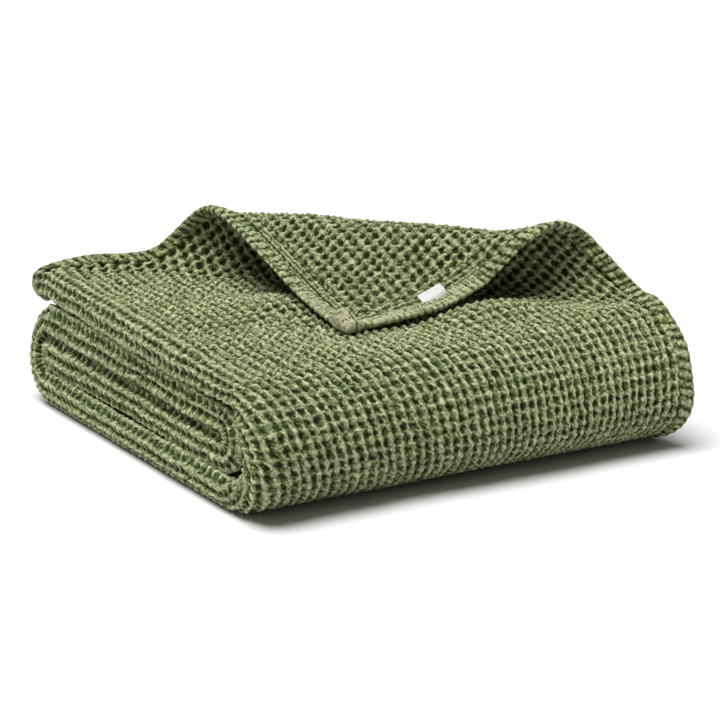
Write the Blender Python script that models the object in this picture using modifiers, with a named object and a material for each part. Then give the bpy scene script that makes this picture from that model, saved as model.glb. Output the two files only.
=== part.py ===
"""Waffle weave cotton blanket, folded in half and half again into a strip,
then the strip folded over and over into a flat bundle, with the far corner of
the top ply turned back over it and a blank label by the turned back hem.

Metres, +Z up. X runs along the long front of the bundle, and the strip's folds
show at the -X end. The bundle lies on z = 0, under the middle of its box.
"""
import math

import bmesh
import bpy
from mathutils import Vector

# Cloth
PLY = 0.0060            # thickness of one ply over the ribs of its weave
PLY_GAP = 0.0020        # air between two plies of the strip
PLIES = 4
PITCH = PLY + PLY_GAP
OUTER_PLY = PITCH * (PLIES - 1) / 2     # from the strip's middle to its outer ply's middle

# The plies are folded in half and then in half again, so that at the left end
# the top ply turns round the two middle ones. In order along the cloth from the
# top ply, each fold gives the ply it leads to, its end of the strip along X,
# and how many faces go round it.
FOLDS = ((3, -1, 6), (2, 1, 4), (1, -1, 2))
FOLD_SQUARE = 0.75      # below 1, folds are squarer than round

# The strip lies in four layers, listed from its outer end inwards. level is the
# height of the strip's middle, and rear and front are where its flat run ends
# along Y. left is where its folds turn and right where its free edges end along
# X, each at the rear and at the front. rows is how many faces the run has.
LAYERS = (
    dict(name="top", level=0.1155, rear=0.2290, front=-0.1680,
         left=(-0.1980, -0.1990), right=(0.2140, 0.2060), rows=16),
    dict(name="bottom", level=0.0150, rear=0.1925, front=-0.1680,
         left=(-0.2060, -0.2040), right=(0.2060, 0.2030), rows=2),
    dict(name="third", level=0.0820, rear=0.1925, front=-0.1520,
         left=(-0.1980, -0.1950), right=(0.2070, 0.2020), rows=2),
    dict(name="second", level=0.0485, rear=0.2020, front=-0.1520,
         left=(-0.2000, -0.1960), right=(0.2060, 0.2030), rows=2),
)
TURN_ROWS = 6           # faces round a turn from one layer to the next

# The strip's outer end is rounded, its plies spread downwards there, and the top
# ply is drawn in at its corner
END_ROUNDING = 0.0180   # how far the edge of the rounding lies in from its middle
END_MIDDLE = -0.0050    # the rounding's middle, over the strip's middle
END_REACH = 0.0200      # from there to its edge
SPREAD = 0.35           # share by which the plies stand further apart at the end
SPREAD_FROM = 0.2050    # y where that starts
DRAWN_IN = 0.0465       # of the top ply's end at the corner, past the rounding
DRAWN_FROM = -0.1900    # x where that starts
DRAWN_TO = -0.1000      # x where it is full

# The bundle is lower along the front, most of all at its left end, and its
# front is a little askew
SQUASH_LEFT = 0.18      # share of the height lost at the front, left end
SQUASH_RIGHT = 0.08     # and right end
SQUASH_REAR = 0.2000    # y where the squash starts
SQUASH_FRONT = -0.1700  # y where it is full
SQUASH_SMOOTH = 0.35    # share of it that follows a smooth curve, not a slope
FRONT_SKEW = 0.0040     # of the front's ends, one forwards and one back
HALF_LENGTH = 0.2120
BELLY_LEFT = 0.0040     # how far the front's lower half stands forward, left end
BELLY_RIGHT = 0.0090    # and right end
BELLY_REAR = -0.1500    # y where that starts
BELLY_FRONT = -0.2250   # and y where it is full
BELLY_TOP = 0.0850      # z where it starts
BELLY_LOW = 0.0300      # and z where it is full

# The top ply's corner is turned back over a soft bend at 45 degrees to its
# hems. Across is measured at a right angle to that bend, from the middle, and
# along the bend from its middle towards the front right. The ply goes up round
# a quarter of radius, up by rise, over to slope below level, straight down, and
# out to lie flat round landing. Between the rows these sizes change evenly.
BEND_START = 0.0065     # across, where the ply leaves the bundle
BEND = (
    dict(along=-0.170, radius=0.0333, rise=0.0000, slope=21.0, landing=0.0950),
    dict(along=0.030, radius=0.0325, rise=0.0050, slope=38.0, landing=0.0900),
    dict(along=0.130, radius=0.0300, rise=0.0070, slope=60.0, landing=0.0550),
    dict(along=0.230, radius=0.0300, rise=0.0210, slope=77.0, landing=0.0200),
)
FLAP_REST = PLY + 0.0015                # flap over top ply, middle to middle
CORNER_COLUMNS = 14     # fine faces along X over the corner, from the right edge
CORNER_COLUMN = 0.0246  # width of each

# Label, sewn to the flap beside its hem
LABEL_LONG = 0.0260
LABEL_WIDE = 0.0110
LABEL_THICK = 0.0010
LABEL_GAP = 0.0013      # between it and the cloth, less at the cloth's edges
LABEL_FROM_EDGE = 0.0115                # from the cloth's edge to its near side
LABEL_MIDDLE = 0.0700   # y of its middle, on the ply before it is turned back
LABEL_ROWS = 4
LABEL_COLUMNS = 2

FINISHES = {
    "blanket": dict(colour=(0.270, 0.330, 0.160), roughness=0.92),
    "label": dict(colour=(0.850, 0.850, 0.830), roughness=0.65),
}


def share_of(value, start, end):
    """How far value lies from start to end, from 0 to 1."""
    return min(max((value - start) / (end - start), 0.0), 1.0)


def between(start, end, share):
    return start + (end - start) * share


def smooth(share):
    return share * share * (3 - 2 * share)


def bend_sizes(along):
    """The sizes of the bend at one place along it."""
    after = next((row for row in BEND[1:] if along < row["along"]), BEND[-1])
    before = BEND[BEND.index(after) - 1]
    share = share_of(along, before["along"], after["along"])
    return {size: between(before[size], after[size], share) for size in after}


def corner_profile(run, sizes):
    """Where the turned back ply is, after run of its length past the bend's start.

    Gives how far across and how high that is, and the angle the ply has turned.
    """
    bend, landing, slope = sizes["radius"], sizes["landing"], math.radians(sizes["slope"])
    top = bend * (1 + math.cos(slope)) + sizes["rise"]
    drop = top - FLAP_REST - landing * (1 - math.cos(slope))
    arcs_and_lines = (
        dict(radius=bend, angle=math.pi / 2),
        dict(length=sizes["rise"]),
        dict(radius=bend, angle=math.pi / 2 + slope),
        dict(length=drop / math.sin(slope)),
        dict(radius=landing, angle=-slope),
        dict(length=math.inf),
    )
    across = height = turned = 0.0
    for piece in arcs_and_lines:
        if "radius" in piece:
            bent = math.copysign(min(run / piece["radius"], abs(piece["angle"])), piece["angle"])
            radius = math.copysign(piece["radius"], piece["angle"])
            across += radius * (math.sin(turned + bent) - math.sin(turned))
            height += radius * (math.cos(turned) - math.cos(turned + bent))
            turned += bent
            run -= abs(bent) * piece["radius"]
        else:
            length = min(run, piece["length"])
            across += length * math.cos(turned)
            height += length * math.sin(turned)
            run -= length
        if run <= 0:
            break
    return across, height, turned


def turn_corner(x, y, offset):
    """A point of the top ply, offset over its middle, with the corner turned back.

    Gives x, y and the height over the ply's middle where it still lies flat.
    """
    across = (x + y) / math.sqrt(2)
    along = (x - y) / math.sqrt(2)
    if across <= BEND_START:
        return x, y, offset
    shift, height, turned = corner_profile(across - BEND_START, bend_sizes(along))
    across = BEND_START + shift - offset * math.sin(turned)
    height += offset * math.cos(turned)
    return (across + along) / math.sqrt(2), (across - along) / math.sqrt(2), height


def settle(x, y, z):
    """Presses the bundle lower towards its front, which is askew and has a low belly."""
    forward = share_of(y, SQUASH_REAR, SQUASH_FRONT)
    squash = between(SQUASH_LEFT, SQUASH_RIGHT, share_of(x, -HALF_LENGTH, HALF_LENGTH))
    skew = FRONT_SKEW * forward * x / HALF_LENGTH
    belly = between(BELLY_LEFT, BELLY_RIGHT, share_of(x, -HALF_LENGTH, HALF_LENGTH))
    belly *= smooth(share_of(y, BELLY_REAR, BELLY_FRONT)) * smooth(share_of(z, BELLY_TOP, BELLY_LOW))
    return x, y + skew - belly, z * (1 - squash * (forward + SQUASH_SMOOTH * (smooth(forward) - forward)))


def strip_stations():
    """Points along the strip's middle, from its outer end, with its outward side."""
    stations = []
    for index, layer in enumerate(LAYERS):
        forward = index % 2 == 0
        start, end = (layer["rear"], layer["front"]) if forward else (layer["front"], layer["rear"])
        for row in range(layer["rows"] + 1):
            share = row / layer["rows"]
            far = share if forward else 1 - share
            stations.append(dict(
                y=between(start, end, share), z=layer["level"], ny=0.0, nz=1.0 if forward else -1.0,
                left=between(*layer["left"], far), right=between(*layer["right"], far),
                top=index == 0))
        if index + 1 < len(LAYERS):
            stations += turn_stations(layer, LAYERS[index + 1], end, index)
    return stations


def turn_stations(layer, following, end, index):
    """The strip's half turn from one layer to the one that follows it."""
    radius = abs(layer["level"] - following["level"]) / 2
    middle = (layer["level"] + following["level"]) / 2
    place = 1 if end == layer["front"] else 0
    stations = []
    for row in range(1, TURN_ROWS):
        share = row / TURN_ROWS
        angle = math.pi * (share + index % 2)
        ny, nz = -math.sin(angle), math.cos(angle)
        stations.append(dict(
            y=end + radius * ny, z=middle + radius * nz, ny=ny, nz=nz,
            left=between(layer["left"][place], following["left"][place], share),
            right=between(layer["right"][place], following["right"][place], share), top=False))
    return stations


def strip_section(left, right, top):
    """The plies across the strip, as points of their middle line from the top ply's hem.

    Each has its x, its height over the strip's middle, and the direction of the
    cloth's face there. Only the top layer has the fine faces of the corner.
    """
    fine = CORNER_COLUMNS if top else 0
    columns = [right - CORNER_COLUMN * step for step in range(fine + 1)] + [left]
    points = [dict(x=x, height=OUTER_PLY, nx=0.0, nz=1.0, ply=0) for x in columns]
    for ply, side, rows in FOLDS:
        level, facing = points[-1]["height"], points[-1]["nz"]
        following = OUTER_PLY - ply * PITCH
        radius, middle = abs(level - following) / 2, (level + following) / 2
        way = math.copysign(1.0, level - following)
        near, far = (left, right) if side < 0 else (right, left)
        for row in range(1, rows):
            angle = math.pi * row / rows
            out, up = side * math.sin(angle) ** FOLD_SQUARE, way * math.cos(angle)
            points.append(dict(x=near + radius * out, height=middle + radius * up,
                               nx=facing * way * out, nz=facing * way * up, ply=ply))
        points += [dict(x=x, height=following, nx=0.0, nz=-facing, ply=ply) for x in (near, far)]
    return points


def top_reach(station, x, height, ply):
    """Y of a point of the top layer, with the strip's end rounded and drawn in."""
    rear, front = LAYERS[0]["rear"], LAYERS[0]["front"]
    edge = rear - END_ROUNDING * ((height - END_MIDDLE) / END_REACH) ** 2
    if ply == 0:
        edge -= DRAWN_IN * smooth(share_of(x, DRAWN_FROM, DRAWN_TO))
    return front + (station["y"] - front) * (edge - front) / (rear - front)


def cloth_point(station, point, offset):
    """A point of the cloth's face, offset from the middle line of its ply."""
    x, height = point["x"], point["height"]
    if station["top"]:
        spread = SPREAD * share_of(station["y"], SPREAD_FROM, LAYERS[0]["rear"]) ** 2
        height -= spread * (OUTER_PLY - height)
    if not station["top"]:
        x += point["nx"] * offset
        height += point["nz"] * offset
        return settle(x, station["y"] + station["ny"] * height, station["z"] + station["nz"] * height)
    if point["ply"]:
        x += point["nx"] * offset
        height += point["nz"] * offset
        return settle(x, top_reach(station, x, height, point["ply"]), station["z"] + height)
    x, y, lift = turn_corner(x, top_reach(station, x, height, 0), offset)
    return settle(x, y, station["z"] + OUTER_PLY + lift)


def join_rings(mesh, ring, following):
    """Faces between two rings. Where the first is finer, its faces meet one of the next."""
    extra = (len(ring) - len(following)) // 2
    places = [0] + [step + extra for step in range(1, len(following) - 1)] + [len(ring) - 1]
    count = len(following)
    for index in range(count):
        beside = (index + 1) % count
        start, end = places[index], places[beside]
        side = ring[start:end + 1] if beside else [ring[start], ring[end]]
        mesh.faces.new((*side, following[beside], following[index]))


def blanket_mesh():
    """One closed skin round the whole folded cloth."""
    mesh = bmesh.new()
    rings = []
    for station in strip_stations():
        section = strip_section(station["left"], station["right"], station["top"])
        ring = [cloth_point(station, point, PLY / 2) for point in section]
        ring += [cloth_point(station, point, -PLY / 2) for point in reversed(section)]
        rings.append([mesh.verts.new(place) for place in ring])
    for ring, following in zip(rings, rings[1:]):
        join_rings(mesh, ring, following)
    for ring in (rings[0], rings[-1]):
        count = len(ring)
        for index in range(count // 2 - 1):
            mesh.faces.new((ring[index], ring[index + 1], ring[count - 2 - index], ring[count - 1 - index]))
    return mesh


def label_mesh():
    """The middle of a label that lies on the flap and bends with it."""
    mesh = bmesh.new()
    bmesh.ops.create_grid(mesh, x_segments=LABEL_COLUMNS, y_segments=LABEL_ROWS, size=0.5)
    top = LAYERS[0]
    for vert in mesh.verts:
        y = LABEL_MIDDLE + vert.co.y * LABEL_LONG
        edge = between(*top["right"], share_of(y, top["rear"], top["front"]))
        x = edge - LABEL_FROM_EDGE + (vert.co.x - 0.5) * LABEL_WIDE
        x, y, lift = turn_corner(x, y, -(PLY + LABEL_THICK) / 2 - LABEL_GAP)
        vert.co = settle(x, y, top["level"] + OUTER_PLY + lift)
    return mesh


def box_middle(mesh):
    """The middle of a mesh's box in plan."""
    corners = [(pick(v.co.x for v in mesh.verts), pick(v.co.y for v in mesh.verts)) for pick in (min, max)]
    return Vector(((corners[0][0] + corners[1][0]) / 2, (corners[0][1] + corners[1][1]) / 2, 0))


def add_piece(name, mesh, middle, collection):
    """Makes the object of one sub-part, moved over the origin, with its own finish."""
    bmesh.ops.translate(mesh, verts=mesh.verts, vec=-middle)
    bmesh.ops.recalc_face_normals(mesh, faces=mesh.faces)
    data = bpy.data.meshes.new(name)
    mesh.to_mesh(data)
    mesh.free()
    finish = FINISHES[name]
    material = bpy.data.materials.new(name)
    material.use_nodes = True
    shader = material.node_tree.nodes["Principled BSDF"]
    shader.inputs["Base Color"].default_value = (*finish["colour"], 1.0)
    shader.inputs["Roughness"].default_value = finish["roughness"]
    shader.inputs["Metallic"].default_value = 0.0
    data.materials.append(material)
    data.shade_smooth()
    piece = bpy.data.objects.new(name, data)
    collection.objects.link(piece)
    return piece


def main():
    for item in list(bpy.data.objects):
        bpy.data.objects.remove(item, do_unlink=True)
    collection = bpy.data.collections.new("waffle blanket")
    bpy.context.scene.collection.children.link(collection)
    cloth = blanket_mesh()
    middle = box_middle(cloth)
    add_piece("blanket", cloth, middle, collection)
    label = add_piece("label", label_mesh(), middle, collection)
    wall = label.modifiers.new("thickness", "SOLIDIFY")
    wall.thickness = LABEL_THICK
    wall.offset = 0.0


main()
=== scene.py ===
import math
from functools import partial

import bpy
import numpy as np
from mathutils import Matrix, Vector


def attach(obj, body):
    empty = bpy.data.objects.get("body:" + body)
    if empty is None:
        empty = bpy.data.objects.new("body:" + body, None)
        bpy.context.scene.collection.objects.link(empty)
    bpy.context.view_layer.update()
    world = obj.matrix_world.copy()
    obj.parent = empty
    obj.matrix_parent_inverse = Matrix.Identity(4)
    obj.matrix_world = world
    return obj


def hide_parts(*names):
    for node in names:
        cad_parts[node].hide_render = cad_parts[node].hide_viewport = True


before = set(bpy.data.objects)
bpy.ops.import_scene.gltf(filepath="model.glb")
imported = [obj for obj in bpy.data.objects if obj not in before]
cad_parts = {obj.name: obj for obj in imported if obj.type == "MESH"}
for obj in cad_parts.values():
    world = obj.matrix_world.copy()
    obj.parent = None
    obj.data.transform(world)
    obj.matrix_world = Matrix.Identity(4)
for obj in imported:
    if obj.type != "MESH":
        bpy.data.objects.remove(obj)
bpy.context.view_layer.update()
print("frame loaded")

# The folded cloth, in metres, as the CAD part lays it. Each layer of the strip is
# listed from its outer end inwards: top, bottom, third, second.
clothSizes = {
    "plyPitch": 0.0080,               # middle of one ply to the next
    "plyWidth": 0.4090,               # across the strip, hem to fold
    "levels": (0.1155, 0.0150, 0.0820, 0.0485),
    "rears": (0.2290, 0.1925, 0.1925, 0.2020),
    "fronts": (-0.1680, -0.1680, -0.1520, -0.1520),
    "lefts": ((-0.1980, -0.1990), (-0.2060, -0.2040), (-0.1980, -0.1950), (-0.2000, -0.1960)),
    "rights": ((0.2140, 0.2060), (0.2060, 0.2030), (0.2070, 0.2020), (0.2060, 0.2030)),
    "endRounding": 0.0180, "endMiddle": -0.0050, "endReach": 0.0200,
    "spread": 0.35, "spreadFrom": 0.2050,       # the plies part a little at the strip's end
    "drawnIn": 0.0465, "drawnFrom": -0.1900, "drawnTo": -0.1000,
    "foldSquare": 0.75,               # under 1, the folds are squarer than round ones
    "boxMiddle": (0.0, 0.0014, 0.0),  # the CAD part's box is centred here
}
pressSizes = {                        # the bundle is lower along its front
    "left": 0.18, "right": 0.08, "rear": 0.2000, "front": -0.1700,
    "smooth": 0.35, "skew": 0.0040, "halfLength": 0.2120,
    "bellyLeft": 0.0040, "bellyRight": 0.0090,  # its front stands forward low down
    "bellyRear": -0.1500, "bellyFront": -0.2250, "bellyTop": 0.0850, "bellyLow": 0.0300,
}
bendSizes = {                         # the corner of the top ply, turned back
    "start": 0.0065, "rest": 0.0075,
    "along": (-0.170, 0.030, 0.130, 0.230),
    "radius": (0.0333, 0.0325, 0.0300, 0.0300),
    "rise": (0.0000, 0.0050, 0.0070, 0.0210),
    "slope": (21.0, 38.0, 60.0, 77.0),
    "landing": (0.0950, 0.0900, 0.0550, 0.0200),
    "fadeOut": 0.040,                 # how far its lift runs on down the front
}

layerCount = len(clothSizes["levels"])
outerPly = clothSizes["plyPitch"] * 1.5       # from the middle of four plies to the outer one
foldArcs = (math.pi * outerPly, math.pi * outerPly / 3, math.pi * outerPly / 3)


def shareOf(value, start, end):
    return np.clip((value - start) / (end - start), 0.0, 1.0)


def smooth(share):
    return share * share * (3 - 2 * share)


# Runs and turns of the strip, in order, each with its length on the outer ply
def stripStages():
    stages, place = [], 0.0
    for layer in range(layerCount):
        ends = clothSizes["rears"][layer], clothSizes["fronts"][layer]
        start, end = ends if layer % 2 == 0 else ends[::-1]
        stages.append({"layer": layer, "turn": False, "start": start, "end": end,
                       "from": place, "length": abs(end - start)})
        place += abs(end - start)
        if layer + 1 < layerCount:
            radius = abs(clothSizes["levels"][layer] - clothSizes["levels"][layer + 1]) / 2
            stages.append({"layer": layer, "turn": True, "end": end, "radius": radius,
                           "from": place, "length": math.pi * (radius + outerPly)})
            place += stages[-1]["length"]
    return stages


stages = stripStages()
stripLength = stages[-1]["from"] + stages[-1]["length"]
sectionLength = 4 * clothSizes["plyWidth"] + sum(foldArcs)
topLength = stages[0]["length"]


# Where the strip's middle is, which way it faces, and its two ends along X
def stationAt(along):
    keys = ("y", "z", "ny", "nz", "left", "right")
    out = {key: np.zeros_like(along) for key in keys}
    for stage in stages:
        last = stage is stages[-1]
        inside = (along >= stage["from"]) & ((along < stage["from"] + stage["length"]) | last)
        if stage is stages[0]:
            inside |= along < 0
        share = (along - stage["from"]) / stage["length"]
        layer = stage["layer"]
        forward = layer % 2 == 0
        if stage["turn"]:
            angle = math.pi * (share + layer % 2)
            middle = (clothSizes["levels"][layer] + clothSizes["levels"][layer + 1]) / 2
            ny, nz = -np.sin(angle), np.cos(angle)
            y, z = stage["end"] + stage["radius"] * ny, middle + stage["radius"] * nz
            place = 1 if forward else 0
            left, right = [np.interp(share, (0, 1), [clothSizes[side][n][place] for n in (layer, layer + 1)])
                           for side in ("lefts", "rights")]
        else:
            far = share if forward else 1 - share
            y = stage["start"] + (stage["end"] - stage["start"]) * share
            z = np.full_like(along, clothSizes["levels"][layer])
            ny, nz = np.zeros_like(along), np.full_like(along, 1.0 if forward else -1.0)
            left, right = [np.interp(far, (0, 1), clothSizes[side][layer]) for side in ("lefts", "rights")]
        for key, value in zip(keys, (y, z, ny, nz, left, right)):
            out[key] = np.where(inside, value, out[key])
    return out


# The folded section: from the top ply's hem, round the left fold to the lowest
# ply, round the right fold to the third, and inside the left fold to the second
def sectionAt(across, left, right):
    width = clothSizes["plyWidth"]
    x = right + (left - right) * across / width
    height = np.full_like(across, outerPly)
    nx, nz = np.zeros_like(across), np.ones_like(across)
    start, level, facing = width, outerPly, 1.0
    for arc, ply, side in zip(foldArcs, (3, 2, 1), (-1, 1, -1)):
        following = outerPly - ply * clothSizes["plyPitch"]
        radius, middle = abs(level - following) / 2, (level + following) / 2
        way = math.copysign(1.0, level - following)
        near, far = (left, right) if side < 0 else (right, left)
        angle = np.clip((across - start) / radius, 0, math.pi)
        out = side * np.maximum(np.sin(angle), 0) ** clothSizes["foldSquare"]
        up = way * np.cos(angle)
        on = across > start
        flat = (across - start - arc) / width
        past = across > start + arc
        x = np.where(on, near + radius * out, x)
        x = np.where(past, near + (far - near) * flat, x)
        height = np.where(on, middle + radius * up, height)
        nx = np.where(on, facing * way * out, nx)
        nz = np.where(on, facing * way * up, nz)
        start, level, facing = start + arc + width, following, -facing
    return x, height, nx, nz


# The strip's outer end is rounded, and its top ply drawn in at the corner
def topReach(y, x, height, outer):
    rear, front = clothSizes["rears"][0], clothSizes["fronts"][0]
    rounding = ((height - clothSizes["endMiddle"]) / clothSizes["endReach"]) ** 2
    edge = rear - clothSizes["endRounding"] * rounding
    drawn = clothSizes["drawnIn"] * smooth(shareOf(x, clothSizes["drawnFrom"], clothSizes["drawnTo"]))
    edge = edge - np.where(outer, drawn, 0)
    return front + (y - front) * (edge - front) / (rear - front)


# The turned back corner, as straights and arcs across the bend: up and over,
# down the slope, and out flat onto the ply below
def turnCorner(x, y, lift):
    across, along = (x + y) / math.sqrt(2), (x - y) / math.sqrt(2)
    size = {key: np.interp(along, bendSizes["along"], bendSizes[key])
            for key in ("radius", "rise", "slope", "landing")}
    radius, slope, landing = size["radius"], np.radians(size["slope"]), size["landing"]
    top = radius * (1 + np.cos(slope)) + size["rise"]
    drop = top - bendSizes["rest"] - landing * (1 - np.cos(slope))
    left = np.maximum(across - bendSizes["start"], 0)
    endless = np.full_like(x, 9.0)
    shift, height, turned = np.zeros_like(x), np.zeros_like(x), np.zeros_like(x)
    for bent, length, way in (
        (radius, radius * math.pi / 2, 1), (None, size["rise"], 0),
        (radius, radius * (math.pi / 2 + slope), 1), (None, drop / np.sin(slope), 0),
        (landing, landing * slope, -1), (None, endless, 0),
    ):
        part = np.minimum(left, length)
        if bent is None:
            shift, height = shift + part * np.cos(turned), height + part * np.sin(turned)
        else:
            angle = turned + way * part / bent
            shift = shift + way * bent * (np.sin(angle) - np.sin(turned))
            height = height + way * bent * (np.cos(turned) - np.cos(angle))
            turned = angle
        left = left - part
    turning = across > bendSizes["start"]
    folded = bendSizes["start"] + shift - lift * np.sin(turned)
    return (np.where(turning, (folded + along) / math.sqrt(2), x),
            np.where(turning, (folded - along) / math.sqrt(2), y),
            np.where(turning, height + lift * np.cos(turned), lift))


# The bundle settles: lower along its front, a little askew, its belly forward
def settle(x, y, z):
    ends = (-pressSizes["halfLength"], pressSizes["halfLength"])
    forward = shareOf(y, pressSizes["rear"], pressSizes["front"])
    press = np.interp(x, ends, (pressSizes["left"], pressSizes["right"]))
    belly = np.interp(x, ends, (pressSizes["bellyLeft"], pressSizes["bellyRight"]))
    belly = belly * smooth(shareOf(y, pressSizes["bellyRear"], pressSizes["bellyFront"]))
    belly = belly * smooth(shareOf(z, pressSizes["bellyTop"], pressSizes["bellyLow"]))
    lower = 1 - press * (forward + pressSizes["smooth"] * (smooth(forward) - forward))
    skew = pressSizes["skew"] * forward * x / pressSizes["halfLength"]
    return np.stack([x, y + skew - belly, z * lower], -1)


# A point of the cloth: metres across and along it, and lift off the ply's middle
def clothPoint(across, along, lift):
    across, along, lift = np.broadcast_arrays(*[np.asarray(v, float) for v in (across, along, lift)])
    station = stationAt(along)
    x, height, nx, nz = sectionAt(across, station["left"], station["right"])
    onTop = along < topLength
    outer = across <= clothSizes["plyWidth"]
    spread = shareOf(station["y"], clothSizes["spreadFrom"], clothSizes["rears"][0])
    spread = clothSizes["spread"] * spread ** 2
    height = height - np.where(onTop, spread * (outerPly - height), 0)
    # the top ply, which turns back at its corner
    reach = topReach(station["y"], x, height, outer)
    cornerX, cornerY, cornerLift = turnCorner(x, reach, lift)
    flat = settle(cornerX, cornerY, station["z"] + outerPly + cornerLift)
    # every other ply, and the turns
    wideX, wideHeight = x + nx * lift, height + nz * lift
    wideReach = topReach(station["y"], wideX, wideHeight, outer)
    y = np.where(onTop, wideReach, station["y"] + station["ny"] * wideHeight)
    z = station["z"] + np.where(onTop, wideHeight, station["nz"] * wideHeight)
    # the corner's lift runs on a little way down the front
    front = np.full_like(x, clothSizes["fronts"][0])
    runX, runY, runLift = turnCorner(x, front, np.zeros_like(x))
    fade = 1 - smooth(shareOf(along - topLength, 0, bendSizes["fadeOut"]))
    fade = np.where(outer & ~onTop, fade, 0)
    y = y + fade * ((runY - front) * station["nz"] + runLift * station["ny"])
    z = z + fade * runLift * station["nz"]
    rest = settle(wideX + fade * (runX - x), y, z)
    return np.where((onTop & outer)[..., None], flat, rest) - np.array(clothSizes["boxMiddle"])


swellSizes = {
    "height": 0.0010, "waves": 9, "shortest": 0.055, "longest": 0.160, "seed": 11,
    "freeFrom": 0.006, "freeTo": 0.030,         # height off the floor where the cloth is free to swell
}
# Soft troughs and ridges: place on the cloth (across, along), direction
# in degrees, half length, half width and depth, a ridge where depth is negative.
creases = (
    (0.330, 0.150, 62, 0.090, 0.012, 0.0016),
    (0.255, 0.345, 15, 0.080, 0.010, 0.0013),
    (0.120, 0.480, 80, 0.070, 0.013, 0.0018),
    (0.300, 0.520, 96, 0.060, 0.012, 0.0015),
    (0.210, 0.450, 70, 0.055, 0.010, -0.0012),
    (0.385, 0.250, 88, 0.110, 0.009, 0.0014),
    (0.290, 0.225, 90, 0.080, 0.034, -0.0115),      # drawn up beneath the turned back hems
    (0.140, 0.350, 0, 0.078, 0.033, -0.0120),
    (0.060, 0.660, 85, 0.080, 0.014, 0.0015),
    (0.150, 1.000, 92, 0.060, 0.012, 0.0016),
    (0.290, 1.030, 84, 0.060, 0.014, 0.0014),
)
hangSizes = {                         # the turned back hems hang onto the ply below
    "drop": 0.0026, "reach": 0.150, "within": (0.010, 0.045), "fade": 0.04,
}

rng = np.random.default_rng(swellSizes["seed"])
swellWaves = []
for wave in range(swellSizes["waves"]):
    heading = rng.normal(size=3)
    length = rng.uniform(swellSizes["shortest"], swellSizes["longest"])
    heading = 2 * math.pi / length * heading / np.linalg.norm(heading)
    swellWaves.append((heading, rng.uniform(0, 2 * math.pi)))


def besideHems(across, along, reach, within):
    # 1 along the turned back hems, 0 further in or past their reach
    near, far = np.minimum(across, along), np.maximum(across, along)
    beside = 1 - smooth(shareOf(far, reach - hangSizes["fade"], reach))
    return beside * (1 - smooth(shareOf(near, *within)))


def hangLift(across, along):
    return hangSizes["drop"] * besideHems(across, along, hangSizes["reach"], hangSizes["within"])


def creaseLift(across, along):
    lift = np.zeros_like(across)
    for u, v, degrees, halfLength, halfWidth, depth in creases:
        angle = math.radians(degrees)
        du, dv = across - u, along - v
        length = (du * math.cos(angle) + dv * math.sin(angle)) / halfLength
        width = (dv * math.cos(angle) - du * math.sin(angle)) / halfWidth
        lift -= depth * np.exp(-width ** 2) * smooth(np.clip(1 - np.abs(length), 0, 1))
    return lift


# clothPoint with the cloth's soft swells and creases, and the way it faces there
def livingPoint(across, along, lift):
    place = clothPoint(across, along, lift)
    across, along = np.broadcast_arrays(across, along)
    step = 0.001
    facing = clothPoint(across, along, lift + step) - place
    facing /= np.linalg.norm(facing, axis=-1, keepdims=True) + 1e-12
    swell = sum(np.sin(place @ wave + phase) for wave, phase in swellWaves)
    swell = swellSizes["height"] * swell / math.sqrt(swellSizes["waves"] / 2)
    free = smooth(shareOf(place[..., 2], swellSizes["freeFrom"], swellSizes["freeTo"]))
    return place + facing * (free * (swell + creaseLift(across, along)))[..., None], facing


def addAttribute(mesh, name, values):
    # a number or a vector for each point
    vector = np.ndim(values) == 3
    attribute = mesh.attributes.new(name, "FLOAT_VECTOR" if vector else "FLOAT", "POINT")
    attribute.data.foreach_set("vector" if vector else "value", np.asarray(values, np.float32).ravel())


def gridMesh(name, points, closedAcross=False):
    # quads over an array of points, rows along and columns across
    rows, columns = points.shape[:2]
    index = np.arange(rows * columns).reshape(rows, columns)
    wide = np.concatenate([index, index[:, :1]], 1) if closedAcross else index
    quads = np.stack([wide[:-1, :-1], wide[:-1, 1:], wide[1:, 1:], wide[1:, :-1]], -1).reshape(-1, 4)
    mesh = bpy.data.meshes.new(name)
    mesh.vertices.add(rows * columns)
    mesh.vertices.foreach_set("co", points.astype(np.float32).ravel())
    mesh.loops.add(quads.size)
    mesh.loops.foreach_set("vertex_index", quads.ravel().astype(np.int32))
    mesh.polygons.add(len(quads))
    mesh.polygons.foreach_set("loop_start", np.arange(0, quads.size, 4, np.int32))
    mesh.update(calc_edges=True)
    mesh.shade_smooth()
    return mesh


def addObject(name, data):
    piece = bpy.data.objects.new(name, data)
    bpy.context.scene.collection.objects.link(piece)
    return piece


# Nodes that both the geometry and the finishes use
def linkInto(tree, value, socket):
    if isinstance(value, bpy.types.NodeSocket):
        tree.links.new(value, socket)
    else:
        socket.default_value = value


def mathNode(tree, operation, *values, clamp=False):
    node = tree.nodes.new("ShaderNodeMath")
    node.operation, node.use_clamp = operation, clamp
    for value, socket in zip(values, node.inputs):
        linkInto(tree, value, socket)
    return node.outputs[0]


def vectorNode(tree, operation, *values):
    node = tree.nodes.new("ShaderNodeVectorMath")
    node.operation = operation
    sockets = (node.inputs[0], node.inputs["Scale"]) if operation == "SCALE" else node.inputs
    for value, socket in zip(values, sockets):
        linkInto(tree, value, socket)
    return node.outputs[0]


def splitNode(tree, vector):
    node = tree.nodes.new("ShaderNodeSeparateXYZ")
    tree.links.new(vector, node.inputs[0])
    return node.outputs


def noiseNode(tree, vector, scale, detail, roughness=0.5, seed=None):
    node = tree.nodes.new("ShaderNodeTexNoise")
    if seed is not None:
        node.noise_dimensions = "4D"
        linkInto(tree, seed, node.inputs["W"])
    for key, value in (("Scale", scale), ("Detail", detail), ("Roughness", roughness)):
        node.inputs[key].default_value = value
    tree.links.new(vector, node.inputs["Vector"])
    return node.outputs


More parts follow.
